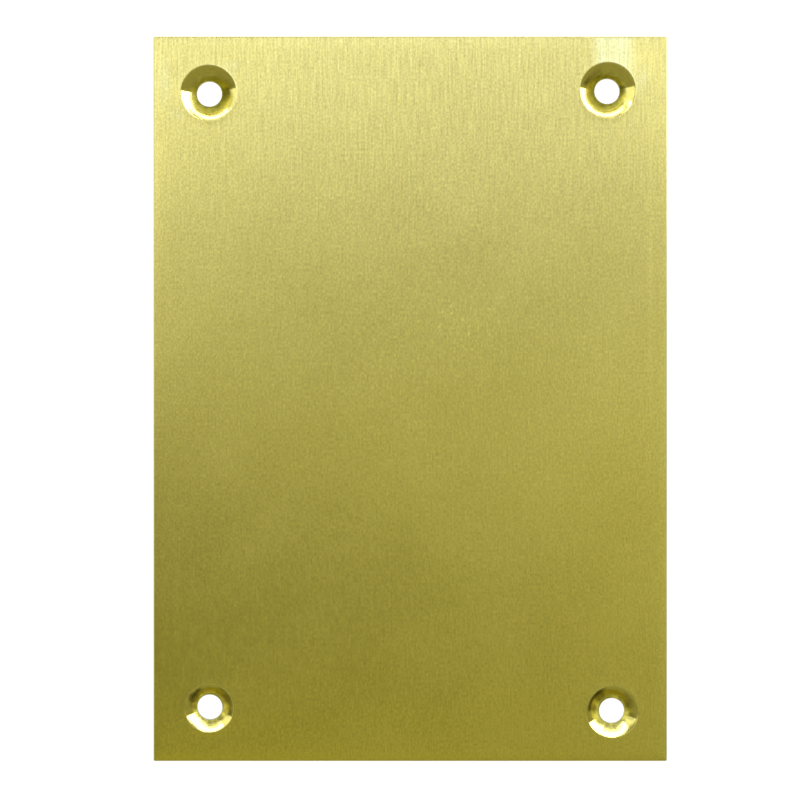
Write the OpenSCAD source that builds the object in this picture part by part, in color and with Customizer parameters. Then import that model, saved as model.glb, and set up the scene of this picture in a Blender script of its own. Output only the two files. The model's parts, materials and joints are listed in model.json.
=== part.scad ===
// Kick plate: one rectangle of satin brass sheet with four countersunk screw holes.
// X runs across the plate, Z up it and Y through it. The back face, which lies on the door,
// is at Y = 0 with the origin at its centre, and the front face is at Y = -plate_t.

/* [Sheet] */
// Width of the plate, from side to side
plate_w = 85; // [60:1:150]
// Height of the plate, from bottom edge to top edge
plate_h = 120; // [80:1:250]
// Thickness of the sheet
plate_t = 3; // [3:0.1:6]
// Width of the bevel filed along every outer arris
arris = 0.15; // [0.1:0.05:0.5]
// Bevel across each of the four outer corners, seen from the front
corner = 0.2; // [0.1:0.05:1]

/* [Screw holes] */
// Diameter of the clearance hole for a No. 8 wood screw
hole_d = 4.2; // [3:0.1:5]
// Distance of a hole's place from the nearer side edge
side_inset = 9.2; // [7:0.1:14]
// Distance of a hole's place from the top or bottom edge
end_inset = 8.8; // [7:0.1:14]
// Included angle of the countersinks
sink_angle = 90; // [90:1:100]
// Mouth diameters of the countersinks: top left, top right, bottom left, bottom right
sink_mouths = [9.2, 9.2, 8.1, 8.6]; // [6:0.1:9.8]
// How far each hole was drilled off its place across the plate, in the same order
stray_x = [-0.1, -0.55, 0, 0.2]; // [-1:0.05:1]
// How far each hole was drilled off its place up the plate, in the same order
stray_z = [-0.5, -0.05, -0.05, -0.65]; // [-1:0.05:1]

/* [Hidden] */
$fn = 96;

brass = [0.79, 0.69, 0.33];
// Which side and which end of the plate each hole is at, as [X, Z] signs in the order of sink_mouths
hole_signs = [[-1, 1], [1, 1], [-1, -1], [1, -1]];
// How far a cutting tool runs on past the face that it cuts
overrun = 1;

// A rectangle centred on the origin whose corners are cut off by a bevel
module bevelled_rectangle(width, height, bevel) {
    x = width / 2;
    y = height / 2;
    polygon([
        [-x + bevel, -y], [x - bevel, -y], [x, -y + bevel], [x, y - bevel],
        [x - bevel, y], [-x + bevel, y], [-x, y - bevel], [-x, -y + bevel]
    ]);
}

// The sheet before drilling. Each prism bevels the edges that run along its own length, and the
// sheet is what all three share.
module sheet() {
    translate([0, -plate_t / 2, 0])
        intersection() {
            linear_extrude(plate_h, center = true)
                bevelled_rectangle(plate_w, plate_t, arris);
            rotate([0, 90, 0])
                linear_extrude(plate_w, center = true)
                    bevelled_rectangle(plate_h, plate_t, arris);
            rotate([90, 0, 0])
                linear_extrude(plate_t, center = true)
                    bevelled_rectangle(plate_w, plate_h, corner);
        }
}

// The X and Z of one hole's axis
function hole_x(i) = hole_signs[i].x * (plate_w / 2 - side_inset) + stray_x[i];
function hole_z(i) = hole_signs[i].y * (plate_h / 2 - end_inset) + stray_z[i];

// What the drill and the countersink bit take out, along +Z from the back face at Z = 0
module screw_hole_tool(mouth_d) {
    slope = tan(sink_angle / 2);
    sink_depth = (mouth_d - hole_d) / 2 / slope;
    translate([0, 0, -overrun])
        cylinder(d = hole_d, h = plate_t + overrun);
    translate([0, 0, plate_t - sink_depth])
        cylinder(d1 = hole_d, d2 = mouth_d + 2 * overrun * slope, h = sink_depth + overrun);
}

module plate() {
    color(brass)
        difference() {
            sheet();
            for (i = [0 : len(hole_signs) - 1])
                translate([hole_x(i), 0, hole_z(i)])
                    rotate([90, 0, 0])
                        screw_hole_tool(sink_mouths[i]);
        }
}

plate();
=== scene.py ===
"""Kick plate: a rectangle of satin brass with four countersunk screw holes.

The CAD plate gives the size and the holes. The look comes from one finely meshed skin around the
same solid, with a brushed front, turned countersinks, linished edges and a plain rolled back.
"""

import json
import math

import bmesh
import bpy
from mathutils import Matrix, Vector


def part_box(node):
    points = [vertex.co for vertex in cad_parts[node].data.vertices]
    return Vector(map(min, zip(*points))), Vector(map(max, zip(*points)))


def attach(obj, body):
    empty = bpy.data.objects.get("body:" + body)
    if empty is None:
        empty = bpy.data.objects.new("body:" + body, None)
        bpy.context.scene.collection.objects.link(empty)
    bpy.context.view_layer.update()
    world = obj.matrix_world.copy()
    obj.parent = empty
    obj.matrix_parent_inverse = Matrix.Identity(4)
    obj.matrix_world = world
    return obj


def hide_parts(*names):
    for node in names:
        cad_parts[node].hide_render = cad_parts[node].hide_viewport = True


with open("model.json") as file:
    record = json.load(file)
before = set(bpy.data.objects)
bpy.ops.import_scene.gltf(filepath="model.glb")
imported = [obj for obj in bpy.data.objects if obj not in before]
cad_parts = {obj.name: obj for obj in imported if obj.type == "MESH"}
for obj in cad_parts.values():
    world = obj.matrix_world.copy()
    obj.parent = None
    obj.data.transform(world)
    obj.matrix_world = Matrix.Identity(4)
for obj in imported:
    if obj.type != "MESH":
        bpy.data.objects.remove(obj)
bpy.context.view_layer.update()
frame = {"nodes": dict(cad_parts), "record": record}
MM = 0.001

# ---------------------------------------------------------------- sizes, in millimetres

LOW, HIGH = (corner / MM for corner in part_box("plate"))
FRONT_Y = LOW.y
THICKNESS = HIGH.y - LOW.y

FRONT_DROP = 0.015  # the sheet's surface lies this far behind the CAD plate's front plane
EDGE_INSET = 0.26  # where the faces' grids of mesh end
ARRIS_RADIUS = 0.16  # rounding of the outer arrises, which leaves a flat strip inside it
STRIP_SHARE = 0.7  # how far across that strip its last loop of mesh lies
# Facets round each outer corner, across each rounded arris and across the flat of a side
CORNER_STEPS = 4
ARRIS_STEPS = 5
SIDE_STEPS = 4

SEGMENTS = 96  # round each hole, which is SEGMENTS / 4 along each side of its block
BLOCK_HALF = 7.2  # half the side of the square block of mesh round each hole
MIDDLE_CELL = 1.3  # size of a mesh cell away from the holes
MARGIN_CELLS = 3  # between a block and the edge
# Rings of mesh round each hole, as distances outside the rounding of its edge
FRONT_RINGS = (0, 0.06, 0.15, 0.28, 0.45, 0.7, 1.1)
BACK_RINGS = (0, 0.08, 0.25, 0.6, 1.3, 2.4)
BLEND_SHARES = (0.75, 0.5, 0.25)  # how round the loops between the rings and the block are

RIM_RADIUS = 0.12  # rounding of the countersink's mouth
FOOT_RADIUS = 0.08  # rounding where the countersink meets the hole
EXIT_RADIUS = 0.08  # rounding of the hole's edge on the back
ARC_STEPS = 4  # facets across each of these roundings
CONE_STEPS = 16  # and down the wall of the countersink
# The bit wobbled, so a countersink flares: the slope of its wall, in degrees from the plate's face,
# grows from the mouth to the foot
MOUTH_SLOPE = 38.5
FOOT_SLOPE = 44.5

LIP_HEIGHT = 0.006  # metal pushed up round each mouth by the countersink bit
LIP_PEAK = 0.12  # distance of the lip's crest outside the mouth
LIP_WIDTH = 0.45
LIP_REACH = 6 * LIP_WIDTH  # beyond this the lip is too low to count
ROLL_DEPTH = 0.03  # how far the face rolls away at the sheared edges
ROLL_WIDTH = 0.7
# Faint unevenness of rolled sheet, as (depth, wave's length across the plate and up it, phase)
WAVES = ((0.006, 61, 47, 0.4), (0.004, 34, 83, 1.9), (0.003, 23, 29, 3.1))

# Material zones of the skin, in the order of its material slots
FRONT, SINK, EDGE, BACK = range(4)


# ---------------------------------------------------------------- the CAD plate's holes


def read_holes():
    """Each screw hole as (x, z, hole radius, mouth radius), measured on the CAD plate."""
    points = [v.co / MM for v in frame["nodes"]["plate"].data.vertices]
    holes = []
    for mount in frame["record"]["mounts"]:
        if mount["kind"] != "bore":
            continue
        x, _, z = (value / MM for value in mount["pos_m"])
        radius = mount["dims"]["r_mm"]
        near = [(math.hypot(p.x - x, p.z - z), p.y) for p in points]
        near = [(r, y) for r, y in near if r < BLOCK_HALF]
        mouth = max(r for r, y in near if abs(y - FRONT_Y) < 0.01)
        holes.append((x, z, radius, mouth))
    return holes


HOLES = read_holes()


def surface_drop(x, z):
    """How far the front surface lies behind the CAD plate's front plane at (x, z)."""
    drop = FRONT_DROP
    for depth, long_x, long_z, phase in WAVES:
        wave = math.sin(math.tau * x / long_x + phase) * math.cos(math.tau * z / long_z + 2 * phase)
        drop += depth * wave
    to_edge = max(min(x - LOW.x, HIGH.x - x, z - LOW.z, HIGH.z - z), 0)
    drop += ROLL_DEPTH * math.exp(-to_edge / ROLL_WIDTH)
    for hole_x, hole_z, _, mouth in HOLES:
        outside = math.hypot(x - hole_x, z - hole_z) - mouth - LIP_PEAK
        if outside < LIP_REACH:
            drop -= LIP_HEIGHT * math.exp(-((outside / LIP_WIDTH) ** 2))
    return max(drop, 0)


# ---------------------------------------------------------------- the skin


class Skin:
    """Points and faces of one closed surface. Each face has a zone and texture coordinates, of which
    the first runs across the metal's grain and the second along it."""

    def __init__(self):
        self.points, self.faces, self.zones, self.uvs = [], [], [], []

    def point(self, x, y, z):
        self.points.append((x, y, z))
        return len(self.points) - 1

    def face(self, corners, zone, uvs):
        kept = [k for k in range(len(corners)) if corners[k] != corners[k - 1]]
        if len(kept) > 2:
            self.faces.append([corners[k] for k in kept])
            self.zones.append(zone)
            self.uvs.append([uvs[k] for k in kept])

    def flat_face(self, corners, zone):
        """A face whose grain runs up the plate."""
        self.face(corners, zone, [(self.points[c][0], self.points[c][2]) for c in corners])

    def bridge(self, first, second, zone, across=None, along=None):
        """Faces between two closed loops of as many points. across gives the first texture
        coordinate of each loop, and along is the step of the second from point to point."""
        count = len(first)
        for k in range(count):
            n = (k + 1) % count
            corners = [first[k], first[n], second[n], second[k]]
            if across is None:
                self.flat_face(corners, zone)
            else:
                a, b = across
                left, right = along * k, along * (k + 1)
                self.face(corners, zone, [(a, left), (a, right), (b, right), (b, left)])

    def mesh(self, name):
        data = bpy.data.meshes.new(name)
        data.from_pydata([[c * MM for c in p] for p in self.points], [], self.faces)
        data.polygons.foreach_set("material_index", self.zones)
        data.polygons.foreach_set("use_smooth", [True] * len(self.faces))
        layer = data.uv_layers.new(name="grain")
        flat = [c * MM for face in self.uvs for uv in face for c in uv]
        layer.data.foreach_set("uv", flat)
        work = bmesh.new()
        work.from_mesh(data)
        bmesh.ops.recalc_face_normals(work, faces=work.faces)
        work.to_mesh(data)
        work.free()
        data.update()
        return data


def between(table, place, column):
    """A column of a table, read off at a place between its rows."""
    for below, above in zip(table, table[1:]):
        if place <= above[0]:
            share = max((place - below[0]) / (above[0] - below[0]), 0)
            return below[column] + (above[column] - below[column]) * share
    return table[-1][column]


def steps(start, stop, count):
    """count + 1 evenly spaced values from start to stop."""
    return [start + (stop - start) * k / count for k in range(count + 1)]


def arc(centre_a, centre_b, radius, from_angle, to_angle, count):
    """Points on a rounding in a profile's plane, each (a, b)."""
    return [
        (centre_a + radius * math.cos(t), centre_b + radius * math.sin(t))
        for t in steps(from_angle, to_angle, count)
    ]


def grid_lines(low, high, centre_low, centre_high):
    """Where the mesh lines of a face lie along one direction, and the places of the two blocks
    among them, as (first line, last line) of each."""
    block = SEGMENTS // 4
    marks = [
        low + EDGE_INSET,
        centre_low - BLOCK_HALF,
        centre_low + BLOCK_HALF,
        centre_high - BLOCK_HALF,
        centre_high + BLOCK_HALF,
        high - EDGE_INSET,
    ]
    middle = round((marks[3] - marks[2]) / MIDDLE_CELL)
    cells = [MARGIN_CELLS, block, middle, block, MARGIN_CELLS]
    lines = [marks[0]]
    for k, count in enumerate(cells):
        lines += steps(marks[k], marks[k + 1], count)[1:]
    first = MARGIN_CELLS
    second = first + block + middle
    return lines, ((first, first + block), (second, second + block))


def mean(values):
    values = list(values)
    return sum(values) / len(values)


X_LINES, X_BLOCKS = grid_lines(
    LOW.x, HIGH.x, mean(h[0] for h in HOLES if h[0] < 0), mean(h[0] for h in HOLES if h[0] > 0)
)
Z_LINES, Z_BLOCKS = grid_lines(
    LOW.z, HIGH.z, mean(h[1] for h in HOLES if h[1] < 0), mean(h[1] for h in HOLES if h[1] > 0)
)


def around(i_low, i_high, j_low, j_high):
    """The grid places round a rectangle of cells, anticlockwise from its lower left corner."""
    return (
        [(i, j_low) for i in range(i_low, i_high)]
        + [(i_high, j) for j in range(j_low, j_high)]
        + [(i, j_high) for i in range(i_high, i_low, -1)]
        + [(i_low, j) for j in range(j_high, j_low, -1)]
    )


def circle(skin, hole, radius, depth_at):
    """A loop of points round a hole's axis, from its lower left, anticlockwise seen from the front."""
    loop = []
    for k in range(SEGMENTS):
        angle = math.tau * (k / SEGMENTS - 3 / 8)
        x, z = hole[0] + radius * math.cos(angle), hole[1] + radius * math.sin(angle)
        loop.append(skin.point(x, depth_at(x, z), z))
    return loop


def add_face(skin, zone, height, radii_of):
    """One of the plate's two flat faces, with a patch of rings round each hole. Returns the loop of
    its outer boundary and the innermost loop round each hole."""
    grid = {}

    def at(i, j):
        if (i, j) not in grid:
            x, z = X_LINES[i], Z_LINES[j]
            grid[i, j] = skin.point(x, height(x, z), z)
        return grid[i, j]

    for i in range(len(X_LINES) - 1):
        for j in range(len(Z_LINES) - 1):
            in_block = any(a <= i < b for a, b in X_BLOCKS) and any(a <= j < b for a, b in Z_BLOCKS)
            if not in_block:
                skin.flat_face([at(i, j), at(i + 1, j), at(i + 1, j + 1), at(i, j + 1)], zone)

    mouths = []
    for hole in HOLES:
        i_low, i_high = X_BLOCKS[hole[0] > 0]
        j_low, j_high = Z_BLOCKS[hole[1] > 0]
        outer = [at(i, j) for i, j in around(i_low, i_high, j_low, j_high)]
        radii = radii_of(hole)
        rings = [circle(skin, hole, radius, height) for radius in radii]
        blends = []
        for share in BLEND_SHARES:
            ring = []
            for a, b in zip(outer, rings[-1]):
                x = skin.points[a][0] * (1 - share) + skin.points[b][0] * share
                z = skin.points[a][2] * (1 - share) + skin.points[b][2] * share
                ring.append(skin.point(x, height(x, z), z))
            blends.append(ring)
        loops = [outer] + blends[::-1] + rings[::-1]
        for first, second in zip(loops, loops[1:]):
            skin.bridge(first, second, zone)
        mouths.append(rings[0])
    last_i, last_j = len(X_LINES) - 1, len(Z_LINES) - 1
    return [at(i, j) for i, j in around(0, last_i, 0, last_j)], mouths


def sink_profile(hole):
    """The wall of a hole from the front to the back, as [(radius, depth)]."""
    _, _, radius, mouth = hole
    width = mouth - radius
    mouth_slope, foot_slope = math.radians(MOUTH_SLOPE), math.radians(FOOT_SLOPE)
    growth = (math.tan(foot_slope) - math.tan(mouth_slope)) / 2

    def depth_at(share):
        return width * (math.tan(mouth_slope) + growth * share) * share

    past_mouth = RIM_RADIUS * math.tan(mouth_slope / 2)
    rim = arc(
        mouth + past_mouth,
        RIM_RADIUS,
        RIM_RADIUS,
        -math.pi / 2,
        -math.pi / 2 - mouth_slope,
        ARC_STEPS,
    )
    below_foot = FOOT_RADIUS * math.tan((math.pi / 2 - foot_slope) / 2)
    low = arc(
        radius + FOOT_RADIUS,
        depth_at(1) + below_foot,
        FOOT_RADIUS,
        -math.pi / 2 - foot_slope,
        -math.pi,
        ARC_STEPS,
    )
    start, stop = ((mouth - r) / width for r in (rim[-1][0], low[0][0]))
    cone = [(mouth - width * t, depth_at(t)) for t in steps(start, stop, CONE_STEPS)[1:-1]]
    leave = arc(
        radius + EXIT_RADIUS, THICKNESS - EXIT_RADIUS, EXIT_RADIUS, math.pi, math.pi / 2, ARC_STEPS
    )
    return rim + cone + low + leave


def add_hole(skin, hole, mouth_loop, back_loop):
    """Walls of one hole between its loops on the two faces."""
    profile = sink_profile(hole)
    loops, travel = [mouth_loop], [0]
    for k, (radius, depth) in enumerate(profile[1:-1], 1):
        fade = max(1 - depth / (2 * RIM_RADIUS), 0)

        def height(x, z, depth=depth, fade=fade):
            return FRONT_Y + depth + surface_drop(x, z) * fade

        loops.append(circle(skin, hole, radius, height))
        travel.append(travel[-1] + math.dist(profile[k - 1], profile[k]))
    loops.append(back_loop)
    travel.append(travel[-1] + math.dist(profile[-2], profile[-1]))
    along = math.tau * hole[2] / SEGMENTS
    for k in range(len(loops) - 1):
        skin.bridge(loops[k], loops[k + 1], SINK, (travel[k], travel[k + 1]), along)


def add_outer_edge(skin, front_loop, back_loop):
    """The rounded rim of the plate, from the boundary of the front face to that of the back."""
    flat = EDGE_INSET - ARRIS_RADIUS
    half_turn = math.pi / 2
    front_arc = arc(flat, ARRIS_RADIUS, ARRIS_RADIUS, -half_turn, 0, ARRIS_STEPS)
    back_arc = arc(flat, THICKNESS - ARRIS_RADIUS, ARRIS_RADIUS, 0, half_turn, ARRIS_STEPS)
    side = [
        (EDGE_INSET, depth)
        for depth in steps(ARRIS_RADIUS, THICKNESS - ARRIS_RADIUS, SIDE_STEPS)[1:-1]
    ]
    strip = flat * STRIP_SHARE
    profile = [(strip, 0)] + front_arc + side + back_arc + [(strip, THICKNESS)]

    corners = {
        (X_LINES[0], Z_LINES[0]): math.pi,
        (X_LINES[-1], Z_LINES[0]): 1.5 * math.pi,
        (X_LINES[-1], Z_LINES[-1]): 0,
        (X_LINES[0], Z_LINES[-1]): half_turn,
    }

    def spread(loop):
        """The loop with each corner point repeated, and the outward direction at each place."""
        places = []
        for k in loop:
            x, _, z = skin.points[k]
            if (x, z) in corners:
                start = corners[x, z]
                for angle in steps(start, start + half_turn, CORNER_STEPS):
                    places.append((k, math.cos(angle), math.sin(angle)))
            elif z == Z_LINES[0]:
                places.append((k, 0, -1))
            elif z == Z_LINES[-1]:
                places.append((k, 0, 1))
            elif x == X_LINES[0]:
                places.append((k, -1, 0))
            else:
                places.append((k, 1, 0))
        return places

    places = spread(front_loop)
    loops, travel = [[k for k, _, _ in places]], [0]
    last = (0, 0)
    for out, depth in profile:
        fade = max(1 - depth / ARRIS_RADIUS, 0)
        loop = []
        for k, dx, dz in places:
            x, z = skin.points[k][0] + out * dx, skin.points[k][2] + out * dz
            y = FRONT_Y + depth + surface_drop(x, z) * fade
            loop.append(skin.point(x, y, z))
        loops.append(loop)
        travel.append(travel[-1] + math.dist(last, (out, depth)))
        last = (out, depth)
    loops.append([k for k, _, _ in spread(back_loop)])
    travel.append(travel[-1] + flat)
    for k in range(len(loops) - 1):
        zone = FRONT if k < 2 else BACK if k >= len(loops) - 3 else EDGE
        if zone == EDGE:
            skin.bridge(loops[k], loops[k + 1], zone, (travel[k], travel[k + 1]), MIDDLE_CELL)
        else:
            skin.bridge(loops[k], loops[k + 1], zone)


def build_plate():
    skin = Skin()

    def front_height(x, z):
        return FRONT_Y + surface_drop(x, z)

    def back_height(x, z):
        return HIGH.y

    def front_radii(hole):
        start = sink_profile(hole)[0][0]
        return [start + more for more in FRONT_RINGS]

    def back_radii(hole):
        start = hole[2] + EXIT_RADIUS
        return [start + more for more in BACK_RINGS]

    front_loop, mouths = add_face(skin, FRONT, front_height, front_radii)
    back_loop, exits = add_face(skin, BACK, back_height, back_radii)
    for hole, mouth, leave in zip(HOLES, mouths, exits):
        add_hole(skin, hole, mouth, leave)
    add_outer_edge(skin, front_loop, back_loop)
    plate = bpy.data.objects.new("brass_plate", skin.mesh("brass_plate"))
    bpy.context.scene.collection.objects.link(plate)
    smooth = plate.modifiers.new("weighted_normals", "WEIGHTED_NORMAL")
    smooth.mode = "FACE_AREA"
    smooth.keep_sharp = True
    return plate


plate = build_plate()

# ---------------------------------------------------------------- materials


def add(tree, kind, inputs=None, **settings):
    """A new node with its settings and inputs; an input is a value or another node's socket."""
    made = tree.nodes.new(kind)
    for name, value in settings.items():
        setattr(made, name, value)
    for name, value in (inputs or {}).items():
        socket = made.inputs[name]
        if isinstance(value, bpy.types.NodeSocket):
            tree.links.new(value, socket)
        else:
            socket.default_value = value
    return made


def new_material(name):
    material = bpy.data.materials.new(name)
    material.use_nodes = True
    material.node_tree.nodes.clear()
    return material, material.node_tree


BRASS = (0.80, 0.73, 0.235)
PALE_BRASS = (0.88, 0.90, 0.42)  # where the grain is rubbed bright, and in painted pale highlights
FAR = 1000  # size of a pattern along an axis that it doesn't change along
LEAST_SHADE, MOST_SHADE = 0.05, 1.6  # limits of what a finish's patterns do to its colour
LEAST_ROUGH, MOST_ROUGH = 0.08, 0.7


class Finish:
    """Builds one brass material: a colour that several patterns lighten, darken or make paler, a
    roughness and a bump that patterns change too, and a grain that runs along the mesh's own."""

    def __init__(self, name, roughness, anisotropic):
        self.material, self.tree = new_material(name)
        self.roughness, self.anisotropic = roughness, anisotropic
        place = add(self.tree, "ShaderNodeTexCoord").outputs["Object"]
        self.place = self.scaled(place, 1 / MM)
        grain = add(self.tree, "ShaderNodeUVMap", uv_map="grain").outputs[0]
        self.grain = self.scaled(grain, 1 / MM)
        self.shade, self.pale, self.rough, self.height = [], [], [], []

    def scaled(self, vector, scale):
        return add(
            self.tree, "ShaderNodeVectorMath", {0: vector, "Scale": scale}, operation="SCALE"
        ).outputs[0]

    def maths(self, operation, first, second=0.0, third=0.0):
        return add(
            self.tree, "ShaderNodeMath", {0: first, 1: second, 2: third}, operation=operation
        ).outputs[0]

    def noise(self, size, detail=2.0, source=None, offset=(0, 0, 0), turn=0):
        """Noise about zero whose features have the given size in millimetres along each axis."""
        where = add(
            self.tree,
            "ShaderNodeMapping",
            {
                "Vector": source or self.place,
                "Location": offset,
                "Rotation": (0, math.radians(turn), 0),
                "Scale": size,
            },
            vector_type="TEXTURE",
        )
        pattern = add(
            self.tree, "ShaderNodeTexNoise", {"Vector": where.outputs[0], "Scale": 1, "Detail": detail}
        )
        return self.maths("SUBTRACT", pattern.outputs[0], 0.5)

    def patch(self, x, z, half_width, half_height, turn=0):
        """1 at (x, z), falling smoothly to 0 at the edge of an ellipse. turn is in degrees, and
        tips the ellipse's top to the right."""
        inside = add(
            self.tree,
            "ShaderNodeMapping",
            {
                "Vector": self.place,
                "Location": (x, 0, z),
                "Rotation": (0, math.radians(turn), 0),
                "Scale": (half_width, FAR, half_height),
            },
            vector_type="TEXTURE",
        )
        return add(
            self.tree,
            "ShaderNodeTexGradient",
            {"Vector": inside.outputs[0]},
            gradient_type="QUADRATIC_SPHERE",
        ).outputs[1]

    def stroke(self, start, end, half_width):
        """A patch stretched along the line between two points (x, z)."""
        run, rise = end[0] - start[0], end[1] - start[1]
        middle = ((start[0] + end[0]) / 2, (start[1] + end[1]) / 2)
        half_length = math.hypot(run, rise) / 2
        return self.patch(*middle, half_width, half_length, math.degrees(math.atan2(run, rise)))

    def step(self, value, start, stop):
        """0 where a value is below start, rising smoothly to 1 at stop."""
        return add(
            self.tree,
            "ShaderNodeMapRange",
            {"Value": value, "From Min": start, "From Max": stop},
            interpolation_type="SMOOTHSTEP",
        ).outputs[0]

    def clamp(self, value, low, high):
        return add(
            self.tree, "ShaderNodeClamp", {"Value": value, "Min": low, "Max": high}
        ).outputs[0]

    def total(self, parts, start):
        for pattern, amount in parts:
            start = self.maths("MULTIPLY_ADD", pattern, amount, start)
        return start

    def build(self, bump):
        """The finished material. bump is how deep a height pattern of 1 is, in millimetres."""
        tree = self.tree
        shade = self.clamp(self.total(self.shade, 1.0), LEAST_SHADE, MOST_SHADE)
        colour = BRASS
        if self.pale:
            share = self.clamp(self.total(self.pale, 0.0), 0, 1)
            shades = {"Factor": share, 6: (*BRASS, 1), 7: (*PALE_BRASS, 1)}
            colour = add(tree, "ShaderNodeMix", shades, data_type="RGBA").outputs[2]
        roughness = self.clamp(self.total(self.rough, self.roughness), LEAST_ROUGH, MOST_ROUGH)
        normal = add(
            tree,
            "ShaderNodeBump",
            {"Height": self.total(self.height, 0.5), "Strength": 1, "Distance": bump * MM},
        )
        tangent = add(tree, "ShaderNodeTangent", direction_type="UV_MAP", uv_map="grain")
        shader = add(
            tree,
            "ShaderNodeBsdfPrincipled",
            {
                "Base Color": self.scaled(colour, shade),
                "Metallic": 1,
                "Roughness": roughness,
                "Anisotropic": self.anisotropic,
                "Tangent": tangent.outputs[0],
                "Normal": normal.outputs[0],
            },
        )
        add(tree, "ShaderNodeOutputMaterial", {"Surface": shader.outputs[0]})
        return self.material


# Marks on the front face from handling, and one painted highlight, as (start, end, half width, how
# much lighter), in millimetres from the plate's centre
MARKS = (
    ((39.8, 72), (39.8, -27), 1.1, 0.10),  # a painted highlight: a lighter band near the right edge
    ((-40.1, 4), (-40.1, 36), 0.8, 0.06),
    ((3.2, 34), (4.6, 58), 0.7, 0.06),
    ((5.0, 11.9), (5.3, 12.9), 0.4, 0.16),
    ((6.6, 16.2), (7.0, 14.4), 0.35, 0.16),
    ((8.2, 13.8), (9.2, 12.5), 0.4, 0.14),
    ((13.7, 15.6), (14.3, 14.0), 0.4, 0.22),
    ((12.3, 13.9), (13.3, 13.7), 0.35, 0.18),
    ((14.6, 13.2), (15.0, 12.2), 0.3, 0.14),
    ((-10.0, 17.5), (-9.1, 22.5), 0.4, 0.08),
    ((22.0, -30.4), (29.4, -37.9), 0.3, 0.10),
    ((1.4, -1.6), (4.0, -4.0), 0.35, 0.07),
    ((4.0, -4.0), (6.8, -5.2), 0.35, 0.07),
    ((-15.0, 30), (-14.2, 38), 0.4, 0.05),
    ((-14.2, 40), (-10.6, 36), 0.4, 0.05),
    ((-8.6, -14.1), (-6.0, -14.1), 0.4, 0.07),
    ((-39.8, -25.5), (-39.8, -28.5), 0.5, 0.09),
)
# Painted light and shade: places painted lighter all over, as (x, z, half width, half height, how
# much lighter). Below 0 is painted shade, darker.
PAINTED_LIGHT_AND_SHADE = (
    (-42, 42, 15, 24, 0.05),
    (-36, -25, 9, 12, -0.03),
    (-37, -51, 5, 5, -0.04),
    (-24, 55, 9, 6, 0.05),
    (42, 52, 20, 30, 0.14),
    (38, 56.5, 8, 4.5, 0.14),
)
# Places where the grain is rubbed and catches the light, as (x, z, half width, half height, how much)
SCUFFS = (
    (9.5, 13, 13, 10, 0.8),
    (-13, 34, 7, 10, 0.5),
    (26, -34, 7, 7, 0.5),
    (-8, 20, 7, 7, 0.4),
    (25, 18, 12, 14, 0.3),
)
# A stretch above the top right hole that was rubbed bright, as (left, right, bottom), and how far
# inside each of them it takes to come up
RUBBED = (29.5, 38.2, 51.5)
RUBBED_FADE = (2, 3, 4)
# Other pale spots, as (x, z, half width, half height, how much)
PALE_SPOTS = (
    (38.5, 53.0, 1.6, 4.0, 0.5),
    (-40.8, 52.5, 2.2, 7.0, 0.5),
    (-29.6, 55.2, 2.2, 1.6, 0.4),
    (-38.5, 47.0, 2.0, 1.6, 0.4),
)
# A painted highlight, a pale halo outside the upper right of the top two mouths: a round patch a
# little larger than the mouth, as (shift to the right, shift up, how much larger in radius)
PAINTED_HALO = (0.25, 0.17, 0.16)


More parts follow.
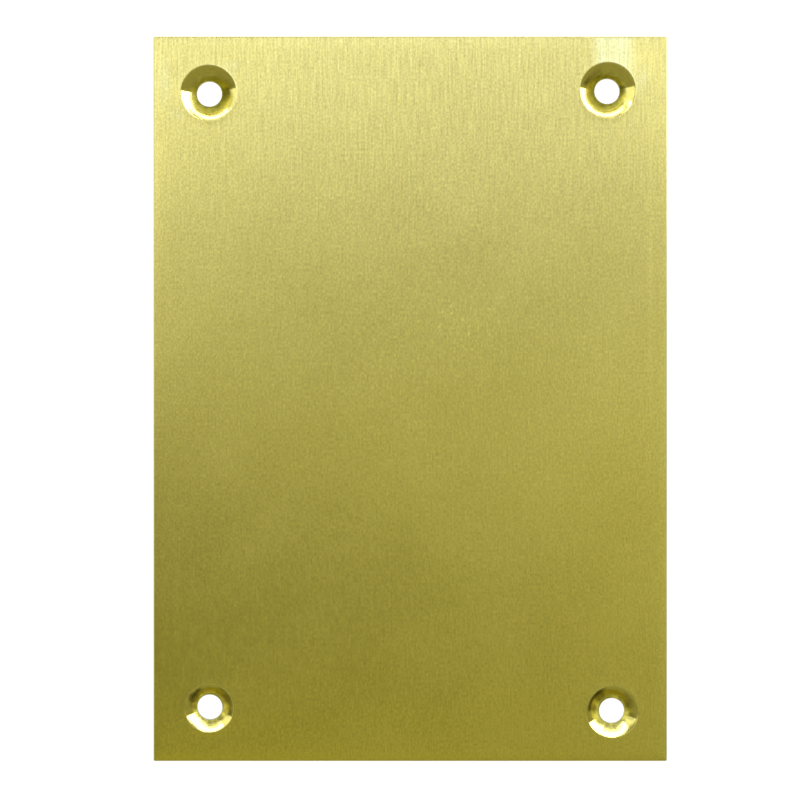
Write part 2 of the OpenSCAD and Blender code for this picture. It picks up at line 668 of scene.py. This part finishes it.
def satin_front():
    """The show face: short fine vertical grain, a little blotchy, with marks from handling, and
    painted light, shade and highlights.
    """
    finish = Finish("satin_front", 0.20, 0.55)
    fine = finish.noise((0.3, FAR, 0.5), detail=2)
    short = finish.noise((0.3, FAR, 1.7), detail=3, offset=(3, 0, 5))
    long = finish.noise((0.33, FAR, 7), detail=2)
    blotches = finish.noise((1.2, FAR, 2.2), detail=2, offset=(40, 0, 9))
    smudges = finish.noise((13, FAR, 17), detail=2, offset=(7, 0, 50), turn=30)
    specks = finish.step(finish.noise((0.5, FAR, 0.7), detail=2, offset=(9, 0, 2)), 0.08, 0.3)
    finish.shade += [(fine, 0.46), (short, 0.2), (long, 0.1), (blotches, 0.08), (smudges, 0.08)]

    place = add(finish.tree, "ShaderNodeSeparateXYZ", {"Vector": finish.place})
    across, up = place.outputs[0], place.outputs[2]
    # the grain is stronger, and streaky, towards the top
    streaks = finish.noise((0.34, FAR, 5), detail=3, offset=(1, 0, 8))
    finish.shade.append((finish.maths("MULTIPLY", streaks, finish.step(up, 10, 65)), 0.8))
    finish.shade.append((finish.maths("MULTIPLY", fine, finish.step(up, -45, 75)), 0.25))

    # marks from handling, and the painted highlight near the right edge
    for start, end, half_width, lighter in MARKS:
        finish.shade.append((finish.stroke(start, end, half_width), lighter))
    # painted light and shade: broad lighter and darker patches
    for x, z, half_width, half_height, lighter in PAINTED_LIGHT_AND_SHADE:
        finish.shade.append((finish.patch(x, z, half_width, half_height), lighter))
    for x, z, half_width, half_height, more in SCUFFS:
        rubbed = finish.maths("MULTIPLY", finish.patch(x, z, half_width, half_height), specks)
        finish.shade.append((rubbed, more))

    left, right, bottom = RUBBED
    left_fade, right_fade, bottom_fade = RUBBED_FADE
    inside = finish.maths(
        "MULTIPLY",
        finish.step(across, left, left + left_fade),
        finish.step(across, right, right - right_fade),
    )
    inside = finish.maths("MULTIPLY", inside, finish.step(up, bottom, bottom + bottom_fade))
    lines = finish.maths("MULTIPLY_ADD", finish.noise((0.4, FAR, 12), detail=2), 2.4, 0.8)
    finish.pale.append((inside, lines))
    finish.shade.append((inside, 0.06))
    for x, z, half_width, half_height, paler in PALE_SPOTS:
        finish.pale.append((finish.patch(x, z, half_width, half_height), paler))
    # painted highlight: a pale halo round the upper right of each top mouth
    shift_x, shift_z, larger = PAINTED_HALO
    for x, z, _, mouth in HOLES:
        if z > 0:
            halo_highlight = finish.patch(x + shift_x, z + shift_z, mouth + larger, mouth + larger)
            halo_highlight = finish.step(halo_highlight, 0.0003, 0.003)  # all of it but its very edge
            finish.pale.append((halo_highlight, 0.6))
            finish.shade.append((halo_highlight, 0.06))

    finish.rough += [(smudges, 0.05), (blotches, 0.04)]
    finish.height += [(fine, 0.6), (short, 0.6), (long, 0.2), (blotches, 0.3)]
    return finish.build(bump=0.008)


# Painted shade and painted dark reflections in the countersinks: darker spots, as (hole in the
# record's order, hour of the clock face, half the spot's size, how much darker)
PAINTED_SHADE_SPOTS = (
    (2, 10.1, 1.45, 0.5),
    (2, 11.0, 1.1, 0.2),
    (2, 2.0, 1.3, 0.15),
    (2, 3.4, 1.3, 0.45),
    (3, 10.7, 1.5, 0.5),
    (3, 9.4, 1.0, 0.3),
    (3, 2.2, 1.4, 0.22),
    (3, 3.5, 1.1, 0.32),
    (1, 11.0, 1.3, 0.15),
    (1, 4.2, 1.1, 0.15),
    (0, 1.0, 1.3, 0.08),
)


def turned_sink():
    """The countersinks and holes: rings left by the turning tool and dirt, duller deep down, with
    painted shade and a painted pale sheen deep down, and painted darker spots of shade and reflection."""
    finish = Finish("turned_sink", 0.11, 0.4)
    rings = finish.noise((0.07, 30, 1), source=finish.grain)
    dirt = finish.noise((0.8, 0.8, 0.8), detail=3)
    travel = add(finish.tree, "ShaderNodeSeparateXYZ", {"Vector": finish.grain}).outputs[0]
    deep = finish.step(travel, 1.4, 2.6)
    # rings and dirt are the metal's own; deep adds painted shade, a little darker deep down
    finish.shade += [(rings, 0.4), (deep, -0.08), (dirt, 0.35)]
    # painted sheen: paler deep down, towards the hole
    finish.pale.append((deep, 0.45))
    finish.shade.append((finish.maths("MULTIPLY", dirt, deep), 0.7))
    # painted shade and painted dark reflections: darker spots on the countersinks' walls
    for number, hour, half_size, darker in PAINTED_SHADE_SPOTS:
        x, z, radius, mouth = HOLES[number]
        angle = math.tau * (3 - hour) / 12
        out = (radius + mouth) / 2
        spot = finish.patch(
            x + out * math.cos(angle), z + out * math.sin(angle), half_size, half_size
        )
        finish.shade.append((finish.step(spot, 0, 0.35), -darker))
    finish.rough += [(deep, 0.03)]
    finish.height += [(rings, 1)]
    return finish.build(bump=0.002)


def linished_edge():
    """Sheared and linished edges: fine lines along the edge, and a few nicks that catch the light."""
    finish = Finish("linished_edge", 0.3, 0.5)
    lines = finish.noise((0.08, 12, 1), source=finish.grain)
    smears = finish.noise((6, 6, 6), detail=3)
    nicks = finish.step(finish.noise((0.5, 1.1, 1), source=finish.grain, offset=(5, 2, 0)), 0.2, 0.34)
    finish.shade += [(lines, 0.35), (smears, 0.3), (nicks, 0.25)]
    finish.rough += [(smears, 0.2)]
    finish.height += [(lines, 1), (nicks, -2)]
    return finish.build(bump=0.004)


# Scratches on the back, as (start, end, half width, how much lighter)
SCRATCHES = (
    ((-22, 31), (-9, 38.5), 0.22, 0.5),
    ((-20.5, 29), (-12, 33.6), 0.16, 0.35),
    ((13, 12), (17.5, -9), 0.2, 0.45),
    ((28, 44), (31.5, 29), 0.18, 0.35),
    ((-31, -12), (-17, -16.5), 0.2, 0.4),
    ((-5, -33), (8.5, -46), 0.22, 0.45),
    ((22, -24), (34, -21), 0.16, 0.3),
    ((-36, 18), (-34.5, 4), 0.18, 0.3),
    ((2, 50), (9, 46.5), 0.2, 0.35),
    ((-27, -44), (-13, -40), 0.16, 0.3),
)


def rolled_back():
    """The face against the door: rolling lines, stains, scratches and a deburred ring at each hole."""
    finish = Finish("rolled_back", 0.33, 0.5)
    lines = finish.noise((0.35, FAR, 25), detail=3)
    fine = finish.noise((0.3, FAR, 0.6))
    stains = finish.noise((9, FAR, 12), detail=4)
    spots = finish.step(finish.noise((1.6, FAR, 1.8), detail=3, offset=(0, 0, 30)), 0.14, 0.24)
    finish.shade += [(lines, 0.35), (fine, 0.3), (stains, 0.25), (spots, -0.22)]
    finish.rough += [(stains, 0.2), (spots, 0.1)]
    for start, end, half_width, lighter in SCRATCHES:
        finish.shade.append((finish.stroke(start, end, half_width), lighter))
    for x, z, radius, _ in HOLES:
        ring = finish.step(finish.patch(x, z, radius + 1.4, radius + 1.4), 0.02, 0.06)
        finish.shade.append((ring, 0.18))
        finish.rough.append((ring, -0.12))
    finish.height += [(lines, 1), (fine, 0.5)]
    return finish.build(bump=0.004)


for make in (satin_front, turned_sink, linished_edge, rolled_back):
    plate.data.materials.append(make())

# ---------------------------------------------------------------- studio

# Softboxes beside and above the plate and a little in front of its plane, where the countersinks'
# walls mirror them, as (name, place, the way it shines, size, radiance), in metres. The top holes'
# lower walls mirror top_near, and the bottom holes' mirror top_left and top_right, further forward.
LEFTWARDS, RIGHTWARDS, DOWNWARDS = (-1, 0, 0), (1, 0, 0), (0, 0, -1)
SOFTBOXES = (
    ("right", (0.38, -0.10, 0.266), LEFTWARDS, (0.18, 0.408), 4.5),
    ("top_near", (0.01, -0.031, 0.38), DOWNWARDS, (0.82, 0.05), 4.5),
    ("top_corner", (0.29, -0.066, 0.38), DOWNWARDS, (0.26, 0.02), 4.5),
    ("left_corner", (-0.26, -0.078, 0.38), DOWNWARDS, (0.28, 0.044), 0.6),
    ("top_left", (-0.24, -0.147, 0.38), DOWNWARDS, (0.48, 0.066), 4.5),
    ("top_right", (0.21, -0.151, 0.38), DOWNWARDS, (0.424, 0.09), 4.5),
    ("left", (-0.36, -0.0955, 0.235), RIGHTWARDS, (0.119, 0.41), 1.0),
)


def soft_light(name, place, way, size, radiance):
    """A rectangular softbox that the camera doesn't see."""
    data = bpy.data.lights.new(f"{name}_softbox", "AREA")
    data.shape = "RECTANGLE"
    data.size, data.size_y = size
    data.energy = radiance * math.pi * size[0] * size[1]
    light = bpy.data.objects.new(data.name, data)
    bpy.context.scene.collection.objects.link(light)
    light.location = place
    light.rotation_euler = Vector(way).to_track_quat("-Z", "Y").to_euler()
    light.visible_camera = False


def room_colour(level, blue):
    """The room's light at a level, with blue as a share of red. The less blue, the less green too."""
    return (level, level * (0.91 + 0.08 * blue), level * blue)


# The plate's own warm light fills the darker side of the room: the share of blue in the room's
# light, as (slope of the direction, left, right)
BLUE = (
    (-0.30, 0.05, 0.36),
    (-0.10, 0.05, 0.38),
    (0.00, 0.36, 0.58),
    (0.05, 0.70, 0.76),
    (0.12, 1.25, 1.25),
)


# The room's level by height in front of the plate, as (slope of the direction, left, middle, right)
ROOM = (
    (-0.30, 0.25, 0.25, 0.25),
    (-0.20, 0.28, 0.28, 0.27),
    (-0.14, 0.44, 0.58, 0.29),
    (-0.10, 0.10, 0.19, 0.52),
    (-0.06, 0.10, 0.19, 0.72),
    (-0.02, 0.24, 0.58, 0.67),
    (0.02, 0.58, 0.38, 0.72),
    (0.06, 1.18, 0.21, 0.94),
    (0.10, 1.78, 0.77, 1.22),
    (0.14, 1.82, 1.51, 1.35),
    (0.18, 1.24, 1.29, 1.04),
    (0.22, 0.51, 0.52, 0.51),
    (0.26, 0.30, 0.30, 0.30),
    (0.40, 0.20, 0.20, 0.20),
)
ROOM_SIDE = 0.20  # how far to each side the room goes on changing, as a slope
# The room away from the front, as (how squarely a direction faces the plate, level, blue). Below 0
# is behind the plate.
SURROUNDINGS = (
    (-1.0, 0.60, 0.9),
    (-0.5, 0.54, 0.85),
    (-0.1, 0.42, 0.6),
    (0.0, 0.32, 0.4),
    (0.35, 0.32, 0.4),
    (0.5, 0.50, 0.7),
    (0.7, 0.62, 0.9),
    (0.86, 0.60, 0.9),
)


def ramp_of(tree, value, stops, low, high):
    """A colour ramp with stops, each (place, colour), between low and high."""
    share = add(tree, "ShaderNodeMapRange", {"Value": value, "From Min": low, "From Max": high})
    ramp = add(tree, "ShaderNodeValToRGB", {"Fac": share.outputs[0]})
    elements = ramp.color_ramp.elements
    while len(elements) < len(stops):
        elements.new(0.5)
    for element, (place, colour) in zip(elements, stops):
        element.position = (place - low) / (high - low)
        element.color = (*colour, 1)
    return ramp.outputs[0]


def build_world():
    world = bpy.data.worlds.new("studio")
    bpy.context.scene.world = world
    world.use_nodes = True
    tree = world.node_tree
    tree.nodes.clear()
    way = add(tree, "ShaderNodeTexCoord").outputs["Generated"]
    part = add(tree, "ShaderNodeSeparateXYZ", {"Vector": way})
    across, depth, height = part.outputs[0], part.outputs[1], part.outputs[2]

    def blend(share, first, second):
        return add(
            tree, "ShaderNodeMix", {"Factor": share, 6: first, 7: second}, data_type="RGBA"
        ).outputs[2]

    low, high = ROOM[0][0], ROOM[-1][0]
    sides = []
    for column, to_right in ((1, 0), (2, 0.5), (3, 1)):
        stops = []
        for row in ROOM:
            left_blue, right_blue = between(BLUE, row[0], 1), between(BLUE, row[0], 2)
            blue = left_blue + (right_blue - left_blue) * to_right
            stops.append((row[0], room_colour(row[column], blue)))
        sides.append(ramp_of(tree, height, stops, low, high))
    left, middle, right = sides

    def to_side(start, stop):
        return add(
            tree, "ShaderNodeMapRange", {"Value": across, "From Min": start, "From Max": stop}
        ).outputs[0]

    front = blend(to_side(-ROOM_SIDE, 0), left, middle)
    front = blend(to_side(0, ROOM_SIDE), front, right)
    facing = add(tree, "ShaderNodeMath", {0: depth, 1: -1}, operation="MULTIPLY").outputs[0]
    stops = [(at, room_colour(level, blue)) for at, level, blue in SURROUNDINGS]
    elsewhere = ramp_of(tree, facing, stops, -1, 1)

    def rise(value, start, stop):
        return add(
            tree,
            "ShaderNodeMapRange",
            {"Value": value, "From Min": start, "From Max": stop},
            interpolation_type="SMOOTHSTEP",
        ).outputs[0]

    def times(first, second):
        return add(tree, "ShaderNodeMath", {0: first, 1: second}, operation="MULTIPLY").outputs[0]

    def plain(level, blue):
        return (*room_colour(level, blue), 1)

    # dark things stand low on both sides, close to the plate's plane, and less so on the left
    left_side, right_side = rise(across, -0.3, -0.6), rise(across, 0.2, 0.5)
    left_share = 0.6
    to_sides = add(
        tree,
        "ShaderNodeMath",
        {0: left_side, 1: left_share, 2: right_side},
        operation="MULTIPLY_ADD",
    ).outputs[0]
    level_with_plate = times(rise(facing, 0.18, 0.12), rise(facing, -0.1, 0.0))
    flag = times(times(rise(height, -0.05, -0.2), to_sides), level_with_plate)
    elsewhere = blend(flag, elsewhere, plain(0.03, 0.4))
    # something pale stands on the left, a little above the middle, and something dark on the right,
    # a little below it
    beside = rise(facing, 0.34, 0.5)
    above = times(rise(height, -0.04, 0.08), rise(height, 0.35, 0.2))
    below = times(rise(height, 0.04, -0.08), rise(height, -0.35, -0.2))
    pale_thing = times(times(rise(across, -0.35, -0.55), above), beside)
    dark_thing = times(times(rise(across, 0.35, 0.55), below), beside)
    elsewhere = blend(pale_thing, elsewhere, plain(1.1, 1.0))
    elsewhere = blend(dark_thing, elsewhere, plain(0.16, 0.5))
    colour = blend(rise(facing, 0.86, 0.93), elsewhere, front)
    ray = add(tree, "ShaderNodeLightPath")
    # the backdrop is white, and so is the light on the floor
    pale = add(
        tree,
        "ShaderNodeMath",
        {0: ray.outputs["Is Camera Ray"], 1: ray.outputs["Is Diffuse Ray"]},
        operation="MAXIMUM",
    ).outputs[0]
    room = add(tree, "ShaderNodeBackground", {"Color": colour, "Strength": 1})
    white = add(tree, "ShaderNodeBackground", {"Color": (1, 1, 1, 1), "Strength": 1.05})
    both = add(
        tree,
        "ShaderNodeMixShader",
        {0: pale, 1: room.outputs[0], 2: white.outputs[0]},
    )
    add(tree, "ShaderNodeOutputWorld", {"Surface": both.outputs[0]})


def build_camera():
    """A camera square on to the front. Sizes are in millimetres."""
    distance = 500  # from the plate's front face
    field = 132.49  # width of the front face's plane that fills the frame
    x, z = -1.69, -0.195  # the plate stands a little right of the middle of the frame
    data = bpy.data.cameras.new("camera")
    data.sensor_width = 36
    data.lens = data.sensor_width * distance / field
    data.clip_start, data.clip_end = 0.01, 20
    camera = bpy.data.objects.new("camera", data)
    bpy.context.scene.collection.objects.link(camera)
    camera.location = (x * MM, (FRONT_Y - distance) * MM, z * MM)
    camera.rotation_euler = (math.radians(90), 0, 0)
    bpy.context.scene.camera = camera


build_world()
build_camera()
for softbox in SOFTBOXES:
    soft_light(*softbox)


def add_floor():
    """A pale floor well below the plate, which fades into the backdrop. Sizes are in metres."""
    radius, fade_start, drop, ring = 1.2, 0.35, 0.25, 64
    points = [(0, 0, -drop)]
    points += [(radius * math.cos(t), radius * math.sin(t), -drop) for t in steps(0, math.tau, ring)]
    data = bpy.data.meshes.new("floor")
    data.from_pydata(points[:-1], [], [(0, k + 1, (k + 1) % ring + 1) for k in range(ring)])
    floor = bpy.data.objects.new("floor", data)
    bpy.context.scene.collection.objects.link(floor)
    material, tree = new_material("floor")
    shader = add(
        tree, "ShaderNodeBsdfPrincipled", {"Base Color": (0.80, 0.79, 0.77, 1), "Roughness": 0.8}
    )
    place = add(tree, "ShaderNodeTexCoord").outputs["Object"]
    flat = add(tree, "ShaderNodeVectorMath", {0: place, 1: (0, 0, drop)}, operation="ADD")
    away = add(tree, "ShaderNodeVectorMath", {0: flat.outputs[0]}, operation="LENGTH").outputs["Value"]
    fade = add(
        tree,
        "ShaderNodeMapRange",
        {"Value": away, "From Min": fade_start, "From Max": radius},
        interpolation_type="SMOOTHSTEP",
    )
    clear = add(tree, "ShaderNodeBsdfTransparent")
    both = add(
        tree, "ShaderNodeMixShader", {0: fade.outputs[0], 1: shader.outputs[0], 2: clear.outputs[0]}
    )
    add(tree, "ShaderNodeOutputMaterial", {"Surface": both.outputs[0]})
    data.materials.append(material)
    floor.visible_glossy = False  # what the brass reflects low down is the room


add_floor()

bpy.context.scene.view_settings.view_transform = "Standard"

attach(plate, "root")
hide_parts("plate")
